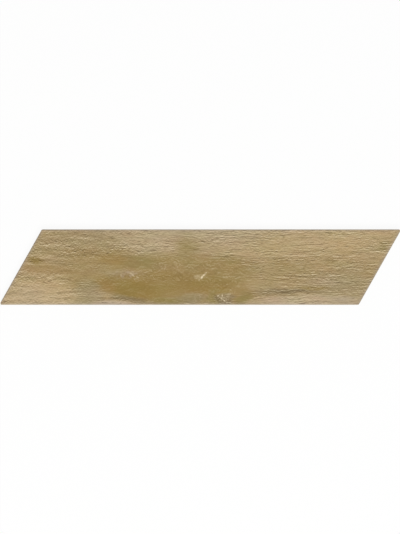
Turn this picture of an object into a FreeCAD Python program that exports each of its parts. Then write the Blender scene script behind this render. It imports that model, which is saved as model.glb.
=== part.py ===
import FreeCAD, Part

import math
import os

# Chevron wall tile: one rhomboid slab of pressed and fired porcelain.
# Frame: X along the long edges, Y across the tile, Z up out of the glazed face.
# Origin: middle of the plane that the back ribs bed on. Lengths in millimetres.

# Plan of the tile
OVERALL_LENGTH = 520.0
FACE_WIDTH = 98.0
ACUTE_CORNER = 60.5

# Section of the tile
THICKNESS = 9.5
ARRIS_RADIUS = 1.5
FACE_CORNER_RADIUS = 0.5
BACK_CHAMFER = 0.9

# Keyed back: shallow pockets that leave a rim and a grid of ribs for the adhesive
RIM_WIDTH = 7.0
RIB_WIDTH = 3.2
POCKET_DEPTH = 0.6
POCKET_WALL_SLOPE = 45.0
POCKET_PITCH = 22.5

SLOPE = math.radians(ACUTE_CORNER)
CORNER_RADIUS = FACE_CORNER_RADIUS + ARRIS_RADIUS
TIP_LOSS = CORNER_RADIUS * (1 / math.tan(SLOPE / 2) - 1)
SHARP_LENGTH = OVERALL_LENGTH + 2 * TIP_LOSS
LONG_EDGE = SHARP_LENGTH - FACE_WIDTH / math.tan(SLOPE)
NEAR = 1e-4


def rhomboid(along, across, z):
    """The corners of a parallelogram centred on the Z axis, leaning by the tile's own slope."""
    lean = across / math.tan(SLOPE)
    corners = []
    for side_x, side_y in ((-1, -1), (1, -1), (1, 1), (-1, 1)):
        x = (side_x * along + side_y * lean) / 2
        y = side_y * across / 2
        corners.append(FreeCAD.Vector(x, y, z))
    return corners


def flat_face(corners):
    """A plane face with these corners."""
    return Part.Face(Part.makePolygon(corners + corners[:1]))


def is_upright(edge):
    """True for an edge that stands along Z."""
    start, end = edge.Vertexes[0].Point, edge.Vertexes[-1].Point
    return math.hypot(start.x - end.x, start.y - end.y) < NEAR


def lies_at(edge, z):
    """True for an edge that lies flat at the height z."""
    box = edge.BoundBox
    return abs(box.ZMin - z) < NEAR and abs(box.ZMax - z) < NEAR


def slab():
    """The outer body: rounded corners, a rounded arris round the face and a chamfer round the back."""
    outline = flat_face(rhomboid(LONG_EDGE, FACE_WIDTH, 0))
    body = outline.extrude(FreeCAD.Vector(0, 0, THICKNESS))
    body = body.makeFillet(CORNER_RADIUS, [e for e in body.Edges if is_upright(e)])
    body = body.makeFillet(ARRIS_RADIUS, [e for e in body.Edges if lies_at(e, THICKNESS)])
    return body.makeChamfer(BACK_CHAMFER, [e for e in body.Edges if lies_at(e, 0)])


def pocket(along, across, x, y):
    """One pocket with sloping walls, widest at the bedding plane and carried past it for a clean cut."""
    spread = 2 * POCKET_DEPTH / math.tan(math.radians(POCKET_WALL_SLOPE))
    spread_along = spread / math.sin(SLOPE)
    mouth = rhomboid(along + spread_along, across + spread, -POCKET_DEPTH)
    floor = rhomboid(along - spread_along, across - spread, POCKET_DEPTH)
    faces = [flat_face(mouth), flat_face(floor)]
    for i in range(len(mouth)):
        j = (i + 1) % len(mouth)
        faces.append(flat_face([mouth[i], mouth[j], floor[j], floor[i]]))
    solid = Part.makeSolid(Part.makeShell(faces))
    solid.translate(FreeCAD.Vector(x, y, 0))
    return solid


def pocket_count(span, rib):
    """Pockets across a span, always an even number so that a rib runs through the middle of the back."""
    return 2 * max(1, round((span + rib) / POCKET_PITCH / 2))


def pockets():
    """All the pockets of the back, in rows that follow the long edges and the slanted ends."""
    rib_along = RIB_WIDTH / math.sin(SLOPE)
    field_across = FACE_WIDTH - 2 * RIM_WIDTH
    field_along = LONG_EDGE - 2 * RIM_WIDTH / math.sin(SLOPE)
    rows = pocket_count(field_across, RIB_WIDTH)
    columns = pocket_count(field_along, rib_along)
    pitch_across = (field_across + RIB_WIDTH) / rows
    pitch_along = (field_along + rib_along) / columns
    made = []
    for row in range(rows):
        y = (row - (rows - 1) / 2) * pitch_across
        for column in range(columns):
            x = (column - (columns - 1) / 2) * pitch_along + y / math.tan(SLOPE)
            made.append(pocket(pitch_along - rib_along, pitch_across - RIB_WIDTH, x, y))
    return made


def main():
    os.makedirs("parts", exist_ok=True)
    tile = slab().cut(pockets())
    tile.exportStep("parts/chevron_tile.step")


main()
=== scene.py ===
import math

import bpy
import numpy as np
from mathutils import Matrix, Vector
from mathutils.geometry import delaunay_2d_cdt


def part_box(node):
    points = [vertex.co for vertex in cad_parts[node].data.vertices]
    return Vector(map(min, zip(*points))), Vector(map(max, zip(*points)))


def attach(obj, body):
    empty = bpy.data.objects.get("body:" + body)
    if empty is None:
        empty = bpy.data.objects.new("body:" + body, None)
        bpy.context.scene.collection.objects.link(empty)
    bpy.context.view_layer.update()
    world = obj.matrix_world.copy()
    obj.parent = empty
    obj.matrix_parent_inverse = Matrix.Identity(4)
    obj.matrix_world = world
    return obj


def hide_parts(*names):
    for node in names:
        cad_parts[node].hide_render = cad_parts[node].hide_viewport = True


# Chevron wall tile with an oak figure under a matte glaze, lying face up on a pale floor.
# Frame: X along the long edges, Y across the tile, Z up out of the face. Lengths in metres.

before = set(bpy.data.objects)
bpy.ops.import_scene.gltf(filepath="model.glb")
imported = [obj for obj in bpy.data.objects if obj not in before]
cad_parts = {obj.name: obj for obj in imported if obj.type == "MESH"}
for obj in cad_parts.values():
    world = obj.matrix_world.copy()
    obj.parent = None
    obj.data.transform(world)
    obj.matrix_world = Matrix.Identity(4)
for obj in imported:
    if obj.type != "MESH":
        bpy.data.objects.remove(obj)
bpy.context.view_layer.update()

NODE = "chevron_tile"
LOW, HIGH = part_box(NODE)
MM = 0.001

# Plan and section of the tile
FACE_WIDTH = HIGH.y - LOW.y
THICKNESS = HIGH.z
SLOPE = math.radians(60.5)
ARRIS_RADIUS = 1.5 * MM
FACE_CORNER_RADIUS = 0.5 * MM
BACK_CHAMFER = 0.9 * MM

WALL_TOP = THICKNESS - ARRIS_RADIUS
CORNER_RADIUS = FACE_CORNER_RADIUS + ARRIS_RADIUS
TIP_LOSS = CORNER_RADIUS * (1 / math.tan(SLOPE / 2) - 1)
LONG_EDGE = HIGH.x - LOW.x + 2 * TIP_LOSS - FACE_WIDTH / math.tan(SLOPE)

# Keyed back
RIM_WIDTH = 7.0 * MM
RIB_WIDTH = 3.2 * MM
POCKET_DEPTH = 0.6 * MM
POCKET_WALL_SLOPE = math.radians(45)
POCKET_PITCH = 22.5 * MM

# Size of the mesh's cells: long along the grain and narrow across it
CELL_LENGTH = 2.05 * MM
CELL_WIDTH = 0.275 * MM
CORNER_STEP = math.radians(15)
ARRIS_STEPS = 6
SHARP_ABOVE = math.radians(38)

# How close two numbers or two points count as the same, and what the triangulation keeps
TOUCHING = 1e-9
MERGE_WITHIN = 1e-7
KEEP_INSIDE = 1

# Relief pressed into the face, all of it downwards
SWELL_DEPTH = 0.08 * MM
FURROW_DEPTH = 0.09 * MM
PORE_DEPTH = 0.09 * MM
FURROW_WIDTH = 0.22
FURROW_POWER = 1.5
FINE_FURROWS_SHARE = 0.5
PORES_START = 0.45
PORES_FULL = 0.85
GRAIN_LOST_IN_BURL = 0.6

# Noises of the relief: length and width of their bumps in mm, and their seed
RELIEF_WANDER = (70, 28, 11)
RELIEF_CURL_ALONG = (13, 11, 12)
RELIEF_CURL_ACROSS = (12, 10, 13)
RELIEF_SWELL = (90, 15, 14)
RELIEF_FURROWS = (16, 2.0, 15)
RELIEF_FINE_FURROWS = (8, 1.2, 16)
RELIEF_PORES = (9, 0.9, 17)
LATTICE = 512

# How far the lines of the relief wander, and how far they curl in the burl
RELIEF_WANDER_REACH = 2.5 * MM
RELIEF_CURL_REACH = (9 * MM, 6 * MM)

# The calm burl in the lower middle of the face, where the grain curls
BURL_CENTRE = (-32 * MM, -16 * MM)
BURL_REACH = (118 * MM, 36 * MM)

# How far in from the edge the print fades and greys, partly as painted shade of the arris
EDGE_FADE = 5.5 * MM

# Places on the bake map: the bands from and to, upwards, and the middle and span of each, sideways
FRONT_BAND = (0.255, 0.995)
BACK_BAND = (0.085, 0.240)
RIM_BANDS = ((0.045, 0.075), (0.005, 0.035))
MAP_MIDDLE = 0.5
MAP_SPAN = 0.990

GLAZE = 0
BISQUE = 1


def sheared(along, across):
    """Plan coordinates of points given by their place along the long edges and across them."""
    return along + across / math.tan(SLOPE), across


def soft_noise(x, y, length, width, seed):
    """Seeded noise from -1 to 1 whose bumps have this length along X and width along Y, in mm."""
    lattice = np.random.default_rng(seed).uniform(-1, 1, (LATTICE, LATTICE))
    i, j = x / (length * MM), y / (width * MM)
    i0, j0 = np.floor(i).astype(int), np.floor(j).astype(int)
    s, t = i - i0, j - j0
    s, t = s * s * (3 - 2 * s), t * t * (3 - 2 * t)
    i0, j0, i1, j1 = i0 % LATTICE, j0 % LATTICE, (i0 + 1) % LATTICE, (j0 + 1) % LATTICE
    low = lattice[i0, j0] * (1 - s) + lattice[i1, j0] * s
    high = lattice[i0, j1] * (1 - s) + lattice[i1, j1] * s
    return low * (1 - t) + high * t


def in_ellipse(x, y, centre, reach):
    """1 in the middle of an upright ellipse, falling smoothly to 0 at its rim."""
    gone = np.hypot((x - centre[0]) / reach[0], (y - centre[1]) / reach[1]).clip(0, 1)
    return (1 - gone * gone) ** 2


def relief(x, y):
    """How far the face lies below its top plane, and how much of that is open grain."""
    burl = in_ellipse(x, y, BURL_CENTRE, BURL_REACH)
    bent = y + RELIEF_WANDER_REACH * soft_noise(x, y, *RELIEF_WANDER)
    curl_x = x + burl * RELIEF_CURL_REACH[0] * soft_noise(x, y, *RELIEF_CURL_ALONG)
    curl_y = bent + burl * RELIEF_CURL_REACH[1] * soft_noise(x, y, *RELIEF_CURL_ACROSS)
    swell = soft_noise(x, bent, *RELIEF_SWELL)
    lines = soft_noise(curl_x, curl_y, *RELIEF_FURROWS)
    lines = lines + FINE_FURROWS_SHARE * soft_noise(curl_x, curl_y, *RELIEF_FINE_FURROWS)
    furrow = (1 - np.abs(lines) / FURROW_WIDTH).clip(0, 1) ** FURROW_POWER
    dashes = soft_noise(curl_x, curl_y, *RELIEF_PORES)
    pore = ((dashes - PORES_START) / (PORES_FULL - PORES_START)).clip(0, 1)
    grain = (FURROW_DEPTH * furrow + PORE_DEPTH * pore) * (1 - GRAIN_LOST_IN_BURL * burl)
    depth = SWELL_DEPTH * (0.5 - 0.5 * swell) + grain
    return depth, grain / (FURROW_DEPTH + PORE_DEPTH)


class Skin:
    """Collects one closed mesh: points, faces, and each face's finish and places on the bake map."""

    def __init__(self):
        self.points = np.empty((0, 3))
        self.faces = []
        self.finishes = []
        self.places = []

    def add_points(self, x, y, z):
        """Adds points given as three arrays of one shape and returns their numbers in that shape."""
        x, y, z = np.broadcast_arrays(x, y, z)
        first = len(self.points)
        self.points = np.vstack([self.points, np.stack([x, y, z], -1).reshape(-1, 3)])
        return np.arange(first, len(self.points)).reshape(x.shape)

    def add_face(self, corners, places, finish):
        """Adds one face by its points' numbers, anticlockwise from outside."""
        self.faces.append(corners)
        self.places.extend(places)
        self.finishes.append(finish)


def face_grid(skin):
    """The flat field of the face up to the centres of its corner arcs, as a sheared grid of points."""
    along = LONG_EDGE - 2 * CORNER_RADIUS / math.sin(SLOPE)
    across = FACE_WIDTH - 2 * CORNER_RADIUS
    columns = round(along / CELL_LENGTH)
    rows = round(across / CELL_WIDTH)
    a, c = np.meshgrid(
        np.linspace(-along / 2, along / 2, columns + 1),
        np.linspace(-across / 2, across / 2, rows + 1),
    )
    x, y = sheared(a, c)
    return skin.add_points(x, y, THICKNESS)


def way_round(grid):
    """The grid's border, anticlockwise and fanned out at the corners.

    Returns each stop's point, its outward angle, and how many stops are in the first half.
    """
    sides = [
        (grid[0, :], -math.pi / 2),
        (grid[:, -1], SLOPE - math.pi / 2),
        (grid[-1, ::-1], math.pi / 2),
        (grid[::-1, 0], SLOPE + math.pi / 2),
    ]
    stops, angles = [], []
    for i, (side, angle) in enumerate(sides):
        turn = (sides[(i + 1) % 4][1] - angle) % math.tau
        steps = round(turn / CORNER_STEP)
        stops += list(side) + [side[-1]] * (steps - 1)
        angles += [angle] * len(side) + [angle + turn * k / steps for k in range(1, steps)]
        if i == 1:
            half = len(stops)
    return np.array(stops), np.array(angles), half


def profile():
    """The section from the face's corner centres outwards and down: (reach, height) of each ring."""
    rings = [(FACE_CORNER_RADIUS / 2, THICKNESS), (FACE_CORNER_RADIUS, THICKNESS)]
    for step in range(1, ARRIS_STEPS + 1):
        turn = math.pi / 2 * step / ARRIS_STEPS
        reach = FACE_CORNER_RADIUS + ARRIS_RADIUS * math.sin(turn)
        rings.append((reach, THICKNESS - ARRIS_RADIUS * (1 - math.cos(turn))))
    rings.append((CORNER_RADIUS, BACK_CHAMFER))
    rings.append((CORNER_RADIUS - BACK_CHAMFER, 0.0))
    return rings


def front_place(x, y):
    """Where a point of the unrolled face and arris falls on the bake map."""
    spread = 2 * ARRIS_RADIUS
    along = (x - y / math.tan(SLOPE)) / (LONG_EDGE + 2 * spread)
    across = y / (FACE_WIDTH + spread)
    low, high = FRONT_BAND
    return MAP_MIDDLE + MAP_SPAN * along, (low + high) / 2 + (high - low) * across


def back_place(x, y):
    """Where a point of the back falls on the bake map."""
    low, high = BACK_BAND
    along = (x - y / math.tan(SLOPE)) / LONG_EDGE
    return MAP_MIDDLE + MAP_SPAN * along, (low + high) / 2 + (high - low) * y / FACE_WIDTH


def lay_face(skin, grid):
    """The quads of the face's field."""
    x, y = skin.points[grid][..., 0], skin.points[grid][..., 1]
    u, v = front_place(x, y)
    for r in range(grid.shape[0] - 1):
        for c in range(grid.shape[1] - 1):
            spots = ((r, c), (r, c + 1), (r + 1, c + 1), (r + 1, c))
            corners = [grid[s] for s in spots]
            skin.add_face(corners, [(u[s], v[s]) for s in spots], GLAZE)


def offset_plan(plan, angles, reach):
    """Plan coordinates of the stops of the way round, moved outwards by a reach."""
    return plan[:, 0] + reach * np.cos(angles), plan[:, 1] + reach * np.sin(angles)


def wall_places(walked, half, i, top, bottom):
    """Where one quad of the wall falls on the bake map. Each half of the way round has its own band."""
    if i < half:
        band, start, end = RIM_BANDS[0], 0.0, walked[half]
    else:
        band, start, end = RIM_BANDS[1], walked[half], walked[-1]
    along = [(walked[k] - start) / (end - start) - 0.5 for k in (i, i + 1)]
    u0, u1 = (MAP_MIDDLE + MAP_SPAN * share for share in along)
    v0, v1 = (band[0] + (band[1] - band[0]) * share for share in (top, bottom))
    return [(u0, v0), (u0, v1), (u1, v1), (u1, v0)]


def lay_rim(skin, grid):
    """The rings round the field: edge of the face, arris, wall and chamfer. Returns the last ring."""
    stops, angles, half = way_round(grid)
    plan = skin.points[stops]
    edge = np.stack(offset_plan(plan, angles, CORNER_RADIUS), -1)
    gaps = np.linalg.norm(np.roll(edge, -1, axis=0) - edge, axis=1)
    walked = np.concatenate([[0.0], np.cumsum(gaps)])
    wall_girth = WALL_TOP + BACK_CHAMFER

    inner, inner_uv = stops, np.stack(front_place(plan[:, 0], plan[:, 1]), -1)
    before, unrolled = (0.0, THICKNESS), 0.0
    for ring in profile():
        reach, height = ring
        x, y = offset_plan(plan, angles, reach)
        outer = skin.add_points(x, y, height)
        step = math.dist(ring, before)
        unrolled += step
        outer_uv = np.stack(front_place(*offset_plan(plan, angles, unrolled)), -1)
        on_wall = before[1] <= WALL_TOP + TOUCHING
        top = 1 - (WALL_TOP - before[1]) / wall_girth
        bottom = top - step / wall_girth
        for i in range(len(stops)):
            j = (i + 1) % len(stops)
            corners = [inner[i], outer[i], outer[j], inner[j]]
            if on_wall:
                places = wall_places(walked, half, i, top, bottom)
            else:
                places = [inner_uv[i], outer_uv[i], outer_uv[j], inner_uv[j]]
            if inner[i] == inner[j]:
                corners, places = corners[:3], places[:3]
            skin.add_face(corners, places, BISQUE if on_wall else GLAZE)
        inner, inner_uv, before = outer, outer_uv, ring
    return inner


def pocket_corners(along, across, x, y):
    """Corner coordinates of one pocket's outline, anticlockwise."""
    a = np.array([-0.5, 0.5, 0.5, -0.5]) * along
    c = np.array([-0.5, -0.5, 0.5, 0.5]) * across
    px, py = sheared(a, c)
    return px + x, py + y


def lay_pocket(skin, along, across, x, y):
    """One pocket of the keyed back: its floor and its sloping walls. Returns its mouth's points."""
    shrink = 2 * POCKET_DEPTH / math.tan(POCKET_WALL_SLOPE)
    mouth_x, mouth_y = pocket_corners(along, across, x, y)
    floor_x, floor_y = pocket_corners(along - shrink / math.sin(SLOPE), across - shrink, x, y)
    mouth = skin.add_points(mouth_x, mouth_y, 0.0)
    floor = skin.add_points(floor_x, floor_y, POCKET_DEPTH)
    mouth_uv = list(zip(*back_place(mouth_x, mouth_y)))
    floor_uv = list(zip(*back_place(floor_x, floor_y)))
    skin.add_face(floor[::-1], floor_uv[::-1], BISQUE)
    for i in range(4):
        j = (i + 1) % 4
        corners = [mouth[i], floor[i], floor[j], mouth[j]]
        skin.add_face(corners, [mouth_uv[i], floor_uv[i], floor_uv[j], mouth_uv[j]], BISQUE)
    return mouth


def lay_pockets(skin):
    """All the pockets, in rows that follow the edges of the tile. Returns their mouths' points."""
    rib_along = RIB_WIDTH / math.sin(SLOPE)
    field_across = FACE_WIDTH - 2 * RIM_WIDTH
    field_along = LONG_EDGE - 2 * RIM_WIDTH / math.sin(SLOPE)
    rows = 2 * round((field_across + RIB_WIDTH) / POCKET_PITCH / 2)
    columns = 2 * round((field_along + rib_along) / POCKET_PITCH / 2)
    pitch_across = (field_across + RIB_WIDTH) / rows
    pitch_along = (field_along + rib_along) / columns
    along, across = pitch_along - rib_along, pitch_across - RIB_WIDTH
    mouths = []
    for row in range(rows):
        y = (row - (rows - 1) / 2) * pitch_across
        for column in range(columns):
            x = (column - (columns - 1) / 2) * pitch_along + y / math.tan(SLOPE)
            mouths.append(lay_pocket(skin, along, across, x, y))
    return mouths


def lay_back(skin, rim, mouths):
    """The flat of the back between its rim and the mouths of the pockets."""
    loops = [rim] + mouths
    numbers = np.concatenate(loops)
    loop_of = np.concatenate([np.full(len(loop), k) for k, loop in enumerate(loops)])
    edges, first = [], 0
    for loop in loops:
        count = len(loop)
        edges += [(first + i, first + (i + 1) % count) for i in range(count)]
        first += count
    flat = [Vector(skin.points[n][:2]) for n in numbers]
    _, _, triangles, origins, _, _ = delaunay_2d_cdt(flat, edges, [], KEEP_INSIDE, MERGE_WITHIN)
    for triangle in triangles:
        spots = [origins[corner][0] for corner in triangle]
        owners = {loop_of[s] for s in spots}
        if len(owners) == 1 and owners != {0}:
            continue
        corners = [numbers[s] for s in reversed(spots)]
        places = [back_place(*skin.points[n][:2]) for n in corners]
        skin.add_face(corners, places, BISQUE)


def press(skin):
    """Presses the relief into the face and returns each point's grain, edge and rim marks, 0 to 1."""
    x, y, z = skin.points.T
    depth, grain = relief(x, y)
    up = ((z - WALL_TOP) / ARRIS_RADIUS).clip(0, 1)
    depth = depth - depth[z > THICKNESS - TOUCHING].min()
    skin.points[:, 2] -= depth * up
    # The rim mark: print fading towards the edges, partly painted shade of the arris
    from_long_edges = FACE_WIDTH / 2 - np.abs(y)
    from_ends = (LONG_EDGE / 2 - np.abs(x - y / math.tan(SLOPE))) * math.sin(SLOPE)
    print_fade_and_shade = (1 - np.minimum(from_long_edges, from_ends) / EDGE_FADE).clip(0, 1) ** 2
    return {"grain": grain * up, "edge": 1 - up, "rim": print_fade_and_shade}


def build_tile(materials):
    """The whole tile as one closed mesh with its relief, its finishes and its bake map."""
    skin = Skin()
    grid = face_grid(skin)
    lay_face(skin, grid)
    lay_back(skin, lay_rim(skin, grid), lay_pockets(skin))
    marks = press(skin)

    mesh = bpy.data.meshes.new("oak_look_tile")
    mesh.from_pydata(skin.points.tolist(), [], [[int(n) for n in face] for face in skin.faces])
    mesh.polygons.foreach_set("material_index", skin.finishes)
    bake_map = mesh.uv_layers.new(name="OFBake")
    bake_map.data.foreach_set("uv", np.array(skin.places, np.float32).ravel())
    for name, values in marks.items():
        mark = mesh.attributes.new(name, "FLOAT", "POINT")
        mark.data.foreach_set("value", values.astype(np.float32))
    mesh.shade_smooth()
    mesh.set_sharp_from_angle(angle=SHARP_ABOVE)
    for material in materials:
        mesh.materials.append(material)
    tile = bpy.data.objects.new("oak_look_tile", mesh)
    bpy.context.scene.collection.objects.link(tile)
    return tile


# The curve between a screen's colours and linear ones: straight up to a toe, a shifted power above it
SRGB_TOE = 0.04045
SRGB_TOE_SLOPE = 12.92
SRGB_SHIFT = 0.055
SRGB_POWER = 2.4


def srgb(red, green, blue):
    """A colour as it is seen on a screen, 0 to 255, in the linear values that shaders take."""
    linear = []
    for value in (red, green, blue):
        share = value / 255
        if share <= SRGB_TOE:
            linear.append(share / SRGB_TOE_SLOPE)
        else:
            linear.append(((share + SRGB_SHIFT) / (1 + SRGB_SHIFT)) ** SRGB_POWER)
    return (*linear, 1.0)


# Keeps each seed's slice of the noise clear of the lattice planes, where the noise is flat
OFF_LATTICE = 0.37

# The middle value of a noise, which goes from 0 to 1
NOISE_MIDDLE = 0.5

# The mix node's sockets for colours: its two inputs and its output
MIX_A = 6
MIX_B = 7
MIX_RESULT = 2


class Graph:
    """Short calls for building one node tree. A value may be a number, a tuple or a socket."""

    def __init__(self, tree):
        self.tree = tree

    def feed(self, socket, value):
        """Gives an input its value: a link from another socket, or a constant."""
        if isinstance(value, bpy.types.NodeSocket):
            self.tree.links.new(value, socket)
        else:
            socket.default_value = value

    def node(self, kind, inputs=(), **settings):
        """A new node with its settings and inputs."""
        made = self.tree.nodes.new(kind)
        for name, value in settings.items():
            setattr(made, name, value)
        for key, value in dict(inputs).items():
            self.feed(made.inputs[key], value)
        return made

    def math(self, operation, a, b=0.0):
        """The result of one operation on two numbers."""
        return self.node("ShaderNodeMath", {0: a, 1: b}, operation=operation).outputs[0]

    def vector(self, operation, a, b=(0, 0, 0)):
        """The result of one operation on two vectors."""
        made = self.node("ShaderNodeVectorMath", {0: a, 1: b}, operation=operation)
        return made.outputs["Value" if operation == "LENGTH" else "Vector"]

    def scaled(self, vector, by):
        """A vector times a number."""
        inputs = {"Vector": vector, "Scale": by}
        return self.node("ShaderNodeVectorMath", inputs, operation="SCALE").outputs["Vector"]

    def ramp(self, value, low, high, to_low=0.0, to_high=1.0):
        """A smooth step from one number to another while the value goes from low to high."""
        inputs = {0: value, 1: low, 2: high, 3: to_low, 4: to_high}
        made = self.node("ShaderNodeMapRange", inputs, interpolation_type="SMOOTHSTEP")
        return made.outputs[0]

    def mix(self, share, a, b):
        """Colour a where the share is 0 and colour b where it is 1."""
        made = self.node("ShaderNodeMix", data_type="RGBA")
        for key, value in ((0, share), (MIX_A, a), (MIX_B, b)):
            self.feed(made.inputs[key], value)
        return made.outputs[MIX_RESULT]

    def placed(self, vector, reach, centre=(0, 0, 0), turn=0.0):
        """The vector as seen from a centre, turned back by an angle and divided by a reach."""
        inputs = {
            "Vector": vector,
            "Location": centre,
            "Rotation": (0, 0, turn),
            "Scale": reach,
        }
        return self.node("ShaderNodeMapping", inputs, vector_type="TEXTURE").outputs[0]

    def noise(self, vector, length, width, seed, detail=1.0, rough=0.5, colour=False, depth=1000):
        """Noise whose features have this length along X, width along Y and depth along Z, in mm."""
        reach = (length * MM, width * MM, depth * MM)
        slice_at = (0, 0, -(seed + OFF_LATTICE) * depth * MM)
        inputs = {
            "Vector": self.placed(vector, reach, slice_at),
            "Scale": 1.0,
            "Detail": detail,
            "Roughness": rough,
        }
        made = self.node("ShaderNodeTexNoise", inputs)
        return made.outputs["Color" if colour else "Fac"]

    def sway(self, vector, noise, reach):
        """A shift in the plan by up to half of a reach in mm either way, drawn from a noise."""
        middle = (NOISE_MIDDLE,) * 3
        shift = self.vector("SUBTRACT", self.noise(vector, *noise, colour=True), middle)
        along, across = reach
        return self.vector("MULTIPLY", shift, (along * MM, across * MM, 0))

    def lines(self, vector, noise, thin, strength=1.0):
        """Thin lines, where a noise passes through its middle value."""
        level = self.math("SUBTRACT", self.noise(vector, *noise), NOISE_MIDDLE)
        return self.ramp(self.math("ABSOLUTE", level), thin, 0.0, 0.0, strength)

    def attribute(self, name):
        """A mark that the mesh carries on its points."""
        return self.node("ShaderNodeAttribute", attribute_name=name).outputs["Fac"]

    def bump(self, height, strength, distance):
        """The surface's normal, tilted as if it had this fine height."""
        inputs = {"Height": height, "Strength": strength, "Distance": distance}
        return self.node("ShaderNodeBump", inputs).outputs["Normal"]

    def shade(self, inputs):
        """Sets inputs of the shader that a new material comes with."""
        shader = self.tree.nodes["Principled BSDF"]
        for name, value in inputs.items():
            self.feed(shader.inputs[name], value)

    def end_in(self, kind, share, off, on):
        """Ends the tree in an output: one shader where the share is 0, the other where it is 1."""
        inputs = {0: share, 1: off.outputs[0], 2: on.outputs[0]}
        mixed = self.node("ShaderNodeMixShader", inputs)
        self.node(kind, {"Surface": mixed.outputs[0]})


def new_material(name):
    """A material and the graph that builds its nodes."""
    material = bpy.data.materials.new(name)
    material.use_nodes = True
    return material, Graph(material.node_tree)


# Colours of the print
TAN = srgb(168, 145, 102)
GOLD = srgb(142, 118, 60)
BROWN = srgb(151, 127, 77)
OLIVE = srgb(142, 125, 72)
UMBER = srgb(108, 94, 64)
CREAM = srgb(187, 162, 119)
ASH = srgb(183, 163, 129)
SAGE = srgb(152, 137, 101)
ROSE = srgb(162, 133, 86)
AMBER = srgb(151, 122, 68)
LILAC = srgb(184, 164, 140)
DEEP_GRAIN = srgb(84, 66, 34)
PALE_GRAIN = srgb(232, 214, 178)
# Thin glaze: on the arris it is also painted shade where the edge curves away; on the wall it is the
# glaze's ragged lower edge
THIN_GLAZE_AND_SHADE = srgb(156, 141, 112)
# Grey of the face's rim: fading print, partly painted shade of the arris
EDGE_GREY = srgb(168, 156, 147)

# Colours of the unglazed body
BISQUE_DARK = srgb(180, 165, 138)
BISQUE_PALE = srgb(196, 182, 157)
BISQUE_SPECK = srgb(142, 124, 96)
KILN_WASH = srgb(216, 210, 198)

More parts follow.
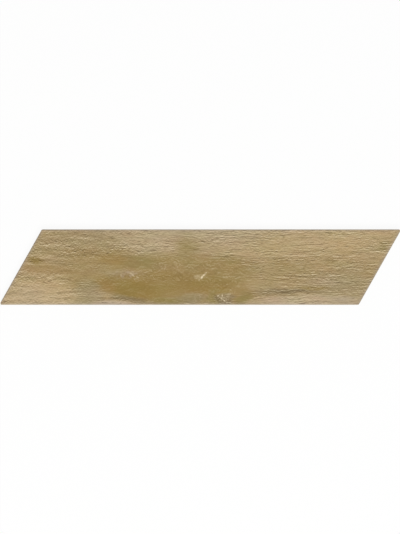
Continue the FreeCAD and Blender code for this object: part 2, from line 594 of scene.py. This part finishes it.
# The zones of the figure, laid over each other in this order. Each has its colour, its middle, its
# half length and half width in mm, its turn in degrees, its strength, and how soft its rim is.
FIGURE = (
    ("light upper right", CREAM, (165, 40), (115, 33), 0, 0.80, 0.8),
    ("light above the burl", ASH, (32, 30), (52, 18), -3, 0.45, 0.8),
    ("grey above the burl", SAGE, (18, 34), (13, 4), 0, 0.30, 0.8),
    ("light along the upper edge", ASH, (-14, 46), (132, 12), 0, 0.82, 0.8),
    ("cloud", ASH, (-68, 30), (38, 15), 0, 0.66, 0.6),
    ("cloud heart", ASH, (-54, 32), (16, 9), 0, 0.35, 0.8),
    ("light lower left", CREAM, (-212, -33), (62, 24), 0, 1.00, 0.8),
    ("ash lower left", ASH, (-224, -34), (34, 13), 0, 0.50, 0.8),
    ("pale foot at the left", PALE_GRAIN, (-212, -46), (66, 7), 0, 0.21, 0.8),
    ("rose zone left", ROSE, (-196, -3), (42, 8), -3, 0.75, 0.6),
    ("shade upper left", SAGE, (-165, 33), (60, 14), 0, 0.34, 0.8),
    ("shade above the band", BROWN, (-138, 18), (50, 8), 0, 0.72, 0.6),
    ("shade at the left of the cloud", SAGE, (-134, 40), (15, 10), 0, 0.40, 0.6),
    ("spot at the left end", GOLD, (-216, 9), (11, 6), -12, 0.95, 0.8),
    ("middle left", BROWN, (-158, 0), (36, 20), 0, 0.45, 0.6),
    ("burl", BROWN, (-40, -2), (106, 19), 0, 0.83, 0.5),
    ("burl right", BROWN, (34, -6), (40, 24), 0, 0.70, 0.5),
    ("shade in the burl", UMBER, (-54, 0), (18, 6), 0, 0.14, 0.8),
    ("light right of the flame", CREAM, (70, 21), (75, 8), 0, 0.30, 0.7),
    ("flame", OLIVE, (-19, 30), (16, 17), 12, 0.36, 0.8),
    ("flame foot", BROWN, (-12, 19), (20, 9), -24, 0.40, 0.5),
    ("band left", OLIVE, (-86, 7), (26, 9), -8, 0.65, 0.5),
    ("band tip", AMBER, (-114, 10), (22, 8), -4, 0.75, 0.7),
    ("shade before the heart", BROWN, (-147, -22), (30, 10), 0, 0.85, 0.8),
    ("foot of the heart", BROWN, (-26, -36), (50, 15), 0, 0.90, 0.5),
    ("heart", GOLD, (-46, -20), (92, 15), 0, 0.78, 0.7),
    ("heart core", GOLD, (-94, -27.5), (45, 13), -10, 1.00, 0.5),
    ("heart glow", GOLD, (-74, -31), (26, 15), -14, 0.75, 0.6),
    ("heart right", GOLD, (8, -24), (44, 10), 4, 0.65, 0.6),
    ("gold under the burl", GOLD, (22, -30), (27, 7), 0, 0.88, 0.8),
    ("ochre in the heart's tip", AMBER, (-121, -22), (15, 8), -20, 0.60, 0.8),
    ("pale haze in the burl", LILAC, (-99, -7), (24, 5), 0, 0.22, 0.8),
    ("lobe right", BROWN, (53, -36), (15, 15), 0, 0.90, 0.5),
    ("foot of the right lobe", OLIVE, (57, -42), (12, 9), 0, 0.95, 0.6),
    ("lobe middle", OLIVE, (19, -40), (9, 12), 0, 0.95, 0.5),
    ("grey between the lobes", UMBER, (32, -42), (12, 8), 0, 0.70, 0.5),
    ("grey in the heart", SAGE, (-8, -41), (22, 8), 3, 0.65, 0.6),
    ("shade under the heart", UMBER, (-18, -44), (36, 7), 0, 0.13, 0.8),
    ("sole of the heart", OLIVE, (-46, -45), (26, 6), -3, 0.95, 0.6),
    ("rim under the heart", UMBER, (-93, -42), (25, 5.5), -8, 0.58, 0.8),
    ("sage left of the heart", SAGE, (-148, -34), (19, 19), 0, 0.66, 0.6),
    ("light below the heart", ASH, (-116, -51), (26, 8), -8, 0.90, 0.4),
    ("grey below the heart", LILAC, (-114, -50), (30, 7), -8, 0.70, 0.6),
    ("light beside the heart", ASH, (-138, -38), (8, 8), 0, 0.20, 0.5),
    ("cool lower right", SAGE, (182, -24), (48, 20), 0, 0.66, 0.7),
    ("light in the cool lower right", ASH, (163, -19), (22, 6), 0, 0.35, 0.8),
    ("light lower right", ASH, (134, -43), (68, 8), 2, 1.00, 0.4),
    ("pale foot at the right", LILAC, (196, -44), (24, 7), 0, 0.45, 0.8),
    ("streak", UMBER, (120, -31.2), (32, 3.6), -1, 0.57, 0.8),
    ("streak heart", DEEP_GRAIN, (131, -31), (17, 2.4), -2, 0.34, 0.9),
    ("streak tip", GOLD, (149, -27), (19, 3.0), 1, 0.72, 0.8),
    ("streak tail", UMBER, (92, -32.5), (26, 6.5), 3, 0.40, 0.8),
    ("spot right", BROWN, (170, 9), (9, 5), 0, 0.60, 0.7),
    ("spot middle", BROWN, (110, 6), (10, 6), 0, 0.55, 0.7),
    ("spot by the burl", BROWN, (68, 6), (12, 5), 0, 0.55, 0.7),
    ("spot at the right end", OLIVE, (240, 28), (7, 8), 0, 0.60, 0.7),
    ("shade at the right end", BROWN, (228, -6), (18, 9), 0, 0.58, 0.8),
    ("shade right of the burl", BROWN, (160, 8), (62, 11), 0, 0.22, 0.8),
    ("shade middle right", BROWN, (112, -9), (60, 16), 0, 0.32, 0.9),
)

# From here on a noise is given by its length and width in mm, its seed, and its detail and roughness if
# they aren't plain. A step is given by the values it goes between and its ends if they aren't 0 and 1.

# What makes the rims of the zones ragged: its noise, and how far it shifts them in mm
SMUDGE = (26, 11, 3, 3.0)
SMUDGE_REACH = (26, 8)

# A faint drift of all three channels over the whole face
DRIFT = (30, 12, 60, 2.0)
DRIFT_STRENGTH = 0.15

# Pale minerals, each with its middle, half length and half width in mm, its turn and its strength
STROKES = (
    ("bright stroke", (2.0, -13.4), (2.8, 1.5), 60, 0.88),
    ("upper stroke", (4.8, -10.2), (2.4, 1.2), 40, 0.85),
    ("tip of the stroke", (7.6, -7.4), (1.5, 0.8), 55, 0.50),
    ("foot of the stroke", (-0.8, -16.0), (1.7, 0.9), 15, 0.45),
    ("halo beside it", (-4, -12.6), (5.5, 3.2), 10, 0.24),
    ("upper left fleck", (23.2, -37.4), (1.6, 0.8), 10, 0.75),
    ("upper right fleck", (28.6, -36.8), (0.9, 1.4), 0, 0.65),
    ("middle fleck", (27.4, -40.6), (1.4, 1.0), -40, 1.00),
    ("lower fleck", (31.2, -43.6), (1.6, 0.8), -30, 0.90),
    ("fleck at the edge", (34.6, -46.2), (0.8, 1.2), 0, 0.45),
    ("arc over the lobes", (37, -35), (4.5, 0.8), 8, 0.45),
    ("left fleck of the haze", (-103.0, -10.6), (1.1, 1.9), 0, 0.42),
    ("middle fleck of the haze", (-90.5, -8.2), (1.8, 1.0), -20, 0.46),
    ("long fleck of the haze", (-87.5, -10.6), (1.8, 0.9), -35, 0.46),
    ("right fleck of the haze", (-81.5, -13.2), (2.0, 1.1), -30, 0.36),
)
THREADS = (
    ("threads in the lobes", (28, -40), (10, 5), 0, 0.70),
    ("haze in the heart", (-3, -39), (6, 5), 0, 0.26),
)
SPECKS = (
    ("specks in the burl", (-97, -9.5), (21, 5.5), 0, 0.48),
)
MINERAL_SOFTNESS = 0.7

# What breaks the minerals up: noises, and the values between which they step
SPECK_NOISE = (4.2, 3.0, 10, 2.0)
SPECK_STEP = (0.48, 0.66)
THREAD_NOISE = (4.5, 3.6, 9, 3.0, 0.6)
THREAD_THINNESS = 0.045
STROKE_NOISE = (2.6, 2.0, 12, 2.0)
STROKE_STEP = (0.34, 0.52, 0.3, 1.0)

# The straight grain, in layers: length and width in mm, and weight towards the left and the right end
GRAIN = (
    ("streaks", 34, 3.0, 0.58, 0.22),
    ("long lines", 40, 1.10, 0.20, 0.62),
    ("dashes", 9, 0.9, 0.44, 1.02),
    ("ticks", 3.4, 0.85, 1.02, 0.80),
    ("mottling", 9, 3.2, 0.28, 0.26),
    ("hair lines", 11, 0.32, 0.66, 0.65),
    ("grit", 1.7, 1.2, 0.96, 0.58),
)
GRAIN_SEED = 40
GRAIN_CHANGES = (-130, 0)
LINE_SHIFT = 1.25

# How the long grain wanders across the tile, and how it comes and goes in patches
WANDER = (90, 60, 1)
WANDER_REACH = (0, 11)
PATCHES = (48, 13, 13)
PATCH_STEP = (0.35, 0.65, 0.6, 1.3)

# The curled grain of the burl, in layers: length and width in mm, and weight
SWIRLS = (
    ("swirls", 8.0, 2.6, 0.18),
    ("stipple", 2.6, 1.6, 0.48),
    ("clouds", 20.0, 9.0, 0.26),
)
SWIRL_SEED = 50
STRAIGHT_IN_BURL = 0.24

# How the grain curls in the burl, and the share of the burl's reach over which it calms down
CURL = (13, 10, 2)
CURL_REACH = (18, 12)
BURL_STEP = (1.05, 0.70)

# Open pores: length and width in mm, the noise at which they open, and how dark they are
PORES = (
    ("pores", 7, 1.3, 0.64, 0.45),
    ("fine pores", 5, 0.4, 0.64, 0.38),
)
PORE_SEED = 70
PORE_RIM = 0.08
PORES_IN_BURL = 0.10

# Hair-thin dark veins along the grain: length and spacing in mm, half thickness as a share of the
# noise's range, and how dark they are
VEINS = (
    ("long veins", 60, 2.4, 0.014, 0.32),
    ("short veins", 14, 1.1, 0.018, 0.22),
)
VEIN_SEED = 80
VEIN_GAPS = (16, 4, 85)
VEIN_STEP = (0.40, 0.60)

# Where the grain is quieter: middle, half length and half width in mm, and the share of it that stays
HUSHED = (
    ("heart", (-52, -30), (96, 14), 0.45),
    ("band at the left", (-160, 1), (80, 15), 0.52),
    ("band over the burl", (-90, 8), (40, 10), 0.60),
    ("flame", (-22, 28), (14, 16), 0.60),
    ("lobe right", (54, -38), (15, 15), 0.40),
    ("lower right", (135, -34), (105, 18), 0.80),
    ("lower left", (-205, -32), (50, 22), 0.94),
    ("left of the heart", (-150, -20), (32, 22), 0.66),
)
HUSH_SOFTNESS = 0.6

# Finish of the glaze: how the pressed grain darkens it with painted shade, how grey its rim is (partly
# painted shade), and how much wear and painted shade its arris shows
RELIEF_SHADE = 0.15
RIM_GREYNESS = 0.45
WEAR_AND_SHADE = (9, 9, 86, 2.0)
WEAR_AND_SHADE_STEP = (0.35, 0.65, 0.25, 0.60)
ARRIS_STEP = (0.0, 0.35)
GLAZE_ROUGHNESS = (-0.2, 0.3, 0.54, 0.68)
GLAZE_SPECULAR = 0.25
HAIRS = (4, 0.35, 8, 3.0, 0.6)
HAIR_HEIGHT = 0.35
PORE_HEIGHT = 1.8
GLAZE_BUMP = (0.7, 0.10 * MM)


def zone(g, place, centre, half, turn, soft):
    """1 inside an ellipse given in mm, fading out over its soft rim."""
    at = (centre[0] * MM, centre[1] * MM, 0)
    size = (half[0] * MM, half[1] * MM, 1)
    away = g.vector("LENGTH", g.placed(place, size, at, math.radians(turn)))
    return g.ramp(away, 1 + soft / 2, 1 - soft)


def figure_colour(g, plan):
    """The broad figure of the print without its grain: soft zones with ragged rims over plain tan."""
    smudged = g.vector("ADD", plan, g.sway(plan, SMUDGE, SMUDGE_REACH))
    colour = TAN
    for _, tint, centre, half, turn, strength, soft in FIGURE:
        share = g.math("MULTIPLY", zone(g, smudged, centre, half, turn, soft), strength)
        colour = g.mix(share, colour, tint)
    drift = g.scaled(g.noise(plan, *DRIFT, colour=True), DRIFT_STRENGTH)
    drift = g.vector("ADD", drift, (1 - DRIFT_STRENGTH / 2,) * 3)
    return g.vector("MULTIPLY", colour, drift)


def minerals(g, plan, shapes):
    """The strongest of these shapes at each place, 0 to 1."""
    share = 0.0
    for _, centre, half, turn, strength in shapes:
        here = zone(g, plan, centre, half, turn, MINERAL_SOFTNESS)
        share = g.math("MAXIMUM", share, g.math("MULTIPLY", here, strength))
    return share


def with_minerals(g, plan, colour):
    """The colour with its pale minerals: soft specks, broken threads and a few strokes."""
    specks = g.ramp(g.noise(plan, *SPECK_NOISE), *SPECK_STEP)
    colour = g.mix(g.math("MULTIPLY", minerals(g, plan, SPECKS), specks), colour, LILAC)
    threads = g.lines(plan, THREAD_NOISE, THREAD_THINNESS)
    threads = g.math("MULTIPLY", minerals(g, plan, THREADS), threads)
    broken = g.ramp(g.noise(plan, *STROKE_NOISE), *STROKE_STEP)
    strokes = g.math("MULTIPLY", minerals(g, plan, STROKES), broken)
    return g.mix(g.math("MAXIMUM", threads, strokes), colour, PALE_GRAIN)


def grain_places(g, plan):
    """Where the long grain and the curled grain are read, and how calm the wood is, 0 to 1."""
    bent = g.vector("ADD", plan, g.sway(plan, WANDER, WANDER_REACH))
    from_burl = g.vector("LENGTH", g.placed(bent, (*BURL_REACH, 1), (*BURL_CENTRE, 0)))
    calm = g.ramp(from_burl, *BURL_STEP)
    curl = g.sway(plan, CURL, CURL_REACH)
    return bent, g.vector("ADD", bent, g.scaled(curl, calm)), calm


def layer(g, place, length, width, seed, weight):
    """One layer of grain: a noise less its own copy a line further on, so that no broad blotch stays."""
    beside = g.vector("ADD", place, (0, LINE_SHIFT * width * MM, 0))
    here, there = (g.noise(at, length, width, seed) for at in (place, beside))
    return g.math("MULTIPLY", g.math("SUBTRACT", here, there), weight)


def open_pores(g, place, calm):
    """Short dark pores along the grain, fewer where the wood is calm."""
    pores = 0.0
    for seed, (_, length, width, opens, strength) in enumerate(PORES, PORE_SEED):
        here = g.noise(place, length, width, seed)
        pores = g.math("MAXIMUM", pores, g.ramp(here, opens, opens + PORE_RIM, 0.0, strength))
    return g.math("MULTIPLY", pores, g.ramp(calm, 0.0, 1.0, 1.0, PORES_IN_BURL))


def veins(g, place):
    """Hair-thin dark lines along the grain, broken by gaps."""
    lines = 0.0
    for seed, (_, length, spacing, thin, strength) in enumerate(VEINS, VEIN_SEED):
        line = g.lines(place, (length, spacing, seed), thin, strength)
        lines = g.math("MAXIMUM", lines, line)
    return g.math("MULTIPLY", lines, g.ramp(g.noise(place, *VEIN_GAPS), *VEIN_STEP))


def straight_grain(g, plan, bent):
    """The layers of the straight grain, which change from the left end to the right and in patches."""
    along = g.node("ShaderNodeSeparateXYZ", {0: plan}).outputs["X"]
    change = [end * MM for end in GRAIN_CHANGES]
    straight = 0.0
    for seed, (_, length, width, left, right) in enumerate(GRAIN, GRAIN_SEED):
        weight = g.ramp(along, *change, left, right)
        straight = g.math("ADD", straight, layer(g, bent, length, width, seed, weight))
    return g.math("MULTIPLY", straight, g.ramp(g.noise(bent, *PATCHES), *PATCH_STEP))


def grain_tone(g, plan):
    """The grain, above 0 where it is dark and below 0 where it is pale, and its open pores."""
    bent, curled, calm = grain_places(g, plan)
    pores = open_pores(g, curled, calm)
    straight = g.math("ADD", straight_grain(g, plan, bent), g.math("ADD", pores, veins(g, bent)))
    swirls = g.math("MULTIPLY", straight, STRAIGHT_IN_BURL)
    for seed, (_, length, width, weight) in enumerate(SWIRLS, SWIRL_SEED):
        swirls = g.math("ADD", swirls, layer(g, curled, length, width, seed, weight))
    tone = g.node("ShaderNodeMix", {"Factor": calm, 2: straight, 3: swirls}).outputs[0]
    for _, centre, half, kept in HUSHED:
        hushed = zone(g, plan, centre, half, 0, HUSH_SOFTNESS)
        tone = g.math("MULTIPLY", tone, g.ramp(hushed, 0.0, 1.0, 1.0, kept))
    # Painted shade in the pressed furrows and pores, darker where they are deeper
    pressed = g.math("MULTIPLY", g.attribute("grain"), RELIEF_SHADE)
    return g.math("ADD", tone, pressed), pores, curled


def wood_look_glaze():
    """The printed and glazed face: tan oak with a golden heart, open grain and a calm burl."""
    material, g = new_material("oak_print_glaze")
    place = g.node("ShaderNodeTexCoord").outputs["Object"]
    plan = g.vector("MULTIPLY", place, (1, 1, 0))
    tone, pores, curled = grain_tone(g, plan)
    dark = g.math("MAXIMUM", tone, 0.0)
    pale = g.math("MAXIMUM", g.math("MULTIPLY", tone, -1.0), 0.0)
    colour = g.mix(dark, figure_colour(g, plan), DEEP_GRAIN)
    colour = with_minerals(g, plan, g.mix(pale, colour, PALE_GRAIN))
    # Greyer towards the edges: fading print, partly painted shade of the arris
    colour = g.mix(g.math("MULTIPLY", g.attribute("rim"), RIM_GREYNESS), colour, EDGE_GREY)
    # The arris goes towards the thin glaze in patches: partly wear, partly painted shade of the curving
    # edge
    worn_and_shaded = g.ramp(g.noise(place, *WEAR_AND_SHADE), *WEAR_AND_SHADE_STEP)
    worn_and_shaded = g.math("MULTIPLY", worn_and_shaded, g.ramp(g.attribute("edge"), *ARRIS_STEP))

    hairs = g.math("MULTIPLY", g.noise(curled, *HAIRS), HAIR_HEIGHT)
    height = g.math("SUBTRACT", hairs, g.math("MULTIPLY", pores, PORE_HEIGHT))
    g.shade({
        "Base Color": g.mix(worn_and_shaded, colour, THIN_GLAZE_AND_SHADE),
        "Roughness": g.ramp(tone, *GLAZE_ROUGHNESS),
        "Specular IOR Level": GLAZE_SPECULAR,
        "Normal": g.bump(height, *GLAZE_BUMP),
    })
    return material


# The unglazed body: sizes of its noises in mm and their seeds, and the values between which they step
CLOUD = (22, 21)
CLOUD_STEP = (0.3, 0.7)
SPECKLE = (0.9, 22)
SPECKLE_STEP = (0.60, 0.74, 0.0, 0.45)
GRIT = (0.5, 23)
RAGS = (5, 24)
RUBBED = (7, 25)
RUBBED_STEP = (0.35, 0.60, 0.30, 0.85)
BISQUE_ROUGHNESS = (0.82, 0.92)
BISQUE_SPECULAR = 0.3
BISQUE_BUMP = (0.6, 0.12 * MM)
LUMP_DETAIL = 3.0

# Heights between which the kiln wash of the ribs fades, and the ragged lower edge of the glaze
WASH_STEP = (0.30 * MM, 0.05 * MM)
RAG_HEIGHT = 1.6 * MM
GLAZE_STEP = (WALL_TOP + 0.1 * MM, WALL_TOP + 0.5 * MM, 0.0, 0.55)


def lumps(g, place, size, seed):
    """Noise whose features are as long, as wide and as deep as each other."""
    return g.noise(place, size, size, seed, LUMP_DETAIL, depth=size)


def bisque():
    """The unglazed body: fired porcelain with a fine speckle, a ragged edge of glaze and kiln wash."""
    material, g = new_material("bisque")
    place = g.node("ShaderNodeTexCoord").outputs["Object"]
    height = g.node("ShaderNodeSeparateXYZ", {0: place}).outputs["Z"]
    cloud = lumps(g, place, *CLOUD)
    colour = g.mix(g.ramp(cloud, *CLOUD_STEP), BISQUE_DARK, BISQUE_PALE)
    colour = g.mix(g.ramp(lumps(g, place, *SPECKLE), *SPECKLE_STEP), colour, BISQUE_SPECK)
    rubbed = g.ramp(lumps(g, place, *RUBBED), *RUBBED_STEP)
    colour = g.mix(g.math("MULTIPLY", rubbed, g.ramp(height, *WASH_STEP)), colour, KILN_WASH)
    ragged = g.math("ADD", height, g.math("MULTIPLY", lumps(g, place, *RAGS), RAG_HEIGHT))
    g.shade({
        "Base Color": g.mix(g.ramp(ragged, *GLAZE_STEP), colour, THIN_GLAZE_AND_SHADE),
        "Roughness": g.ramp(cloud, *CLOUD_STEP, *BISQUE_ROUGHNESS),
        "Specular IOR Level": BISQUE_SPECULAR,
        "Normal": g.bump(lumps(g, place, *GRIT), *BISQUE_BUMP),
    })
    return material


# The floor: how far it reaches, how far it stays clear of the back, its colour, and the share of plain
# white that the camera sees in it
FLOOR_REACH = 6.0
FLOOR_GAP = 0.05 * MM
FLOOR_WHITE = srgb(245, 245, 243)
FLOOR_LIFT = 0.92

# The light: the colour and strength of the sky, and the softbox's size, power and place
WHITE = (1, 1, 1, 1)
SKY_STRENGTH = 0.55
SOFTBOX_SIZE = (2.4, 1.6)
SOFTBOX_WATTS = 56.5
SOFTBOX_PLACE = (0.2, -1.7, 2.5)


def backdrop_share(g):
    """1 for rays that show the background as such: from the camera, in a gloss or through glass."""
    paths = g.node("ShaderNodeLightPath")
    share = paths.outputs["Is Camera Ray"]
    for name in ("Is Glossy Ray", "Is Transmission Ray"):
        share = g.math("MAXIMUM", share, paths.outputs[name])
    return share


def studio_floor():
    """A plain pale floor that the camera sees as white, with the tile's shadow left on it."""
    sides = ((-1, -1), (1, -1), (1, 1), (-1, 1))
    corners = [(x * FLOOR_REACH, y * FLOOR_REACH, -FLOOR_GAP) for x, y in sides]
    mesh = bpy.data.meshes.new("studio_floor")
    mesh.from_pydata(corners, [], [(0, 1, 2, 3)])
    floor = bpy.data.objects.new("studio_floor", mesh)
    bpy.context.scene.collection.objects.link(floor)
    material, g = new_material("pale_floor")
    g.tree.nodes.clear()
    matte = g.node("ShaderNodeBsdfDiffuse", {"Color": FLOOR_WHITE})
    white = g.node("ShaderNodeEmission", {"Strength": 1.0})
    lifted = g.math("MULTIPLY", backdrop_share(g), FLOOR_LIFT)
    g.end_in("ShaderNodeOutputMaterial", lifted, matte, white)
    mesh.materials.append(material)


def studio_light():
    """An even pale sky and one large soft lamp in front of the tile."""
    world = bpy.data.worlds.new("studio")
    bpy.context.scene.world = world
    world.use_nodes = True
    g = Graph(world.node_tree)
    g.tree.nodes.clear()
    sky = g.node("ShaderNodeBackground", {"Color": WHITE, "Strength": SKY_STRENGTH})
    plain = g.node("ShaderNodeBackground", {"Color": WHITE, "Strength": 1.0})
    g.end_in("ShaderNodeOutputWorld", backdrop_share(g), sky, plain)

    lamp = bpy.data.lights.new("softbox", "AREA")
    lamp.shape = "RECTANGLE"
    lamp.size, lamp.size_y = SOFTBOX_SIZE
    lamp.energy = SOFTBOX_WATTS
    softbox = bpy.data.objects.new("softbox", lamp)
    bpy.context.scene.collection.objects.link(softbox)
    softbox.location = SOFTBOX_PLACE
    softbox.rotation_euler = (-softbox.location).to_track_quat("-Z", "Y").to_euler()


# The camera: the photo's height and the tile's length in it in pixels, how far the photo's middle lies
# from the tile's, the lens and its sensor in mm, the nearest distance it sees, and the farthest as a
# multiple of its distance from the tile
PHOTO_HEIGHT = 534
PHOTO_TILE = 400
ASIDE = -0.35 * MM
ABOVE = 0.15 * MM
LENS = 300.0
SENSOR = 36.0
NEAREST = 0.1
FARTHEST = 4


def look_down():
    """The camera straight above the tile, far off with a long lens, framed as in the photograph."""
    view_height = (HIGH.x - LOW.x) / PHOTO_TILE * PHOTO_HEIGHT
    distance = view_height * LENS / SENSOR
    lens = bpy.data.cameras.new("camera")
    lens.lens = LENS
    lens.sensor_width = SENSOR
    lens.sensor_fit = "AUTO"
    lens.clip_start = NEAREST
    lens.clip_end = FARTHEST * distance
    camera = bpy.data.objects.new("camera", lens)
    bpy.context.scene.collection.objects.link(camera)
    middle = (LOW + HIGH) / 2
    camera.location = (middle.x + ASIDE, middle.y + ABOVE, THICKNESS + distance)
    bpy.context.scene.camera = camera


def main():
    bpy.context.scene.view_settings.view_transform = "Standard"
    tile = build_tile([wood_look_glaze(), bisque()])
    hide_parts(NODE)
    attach(tile, "root")
    studio_floor()
    studio_light()
    look_down()


main()
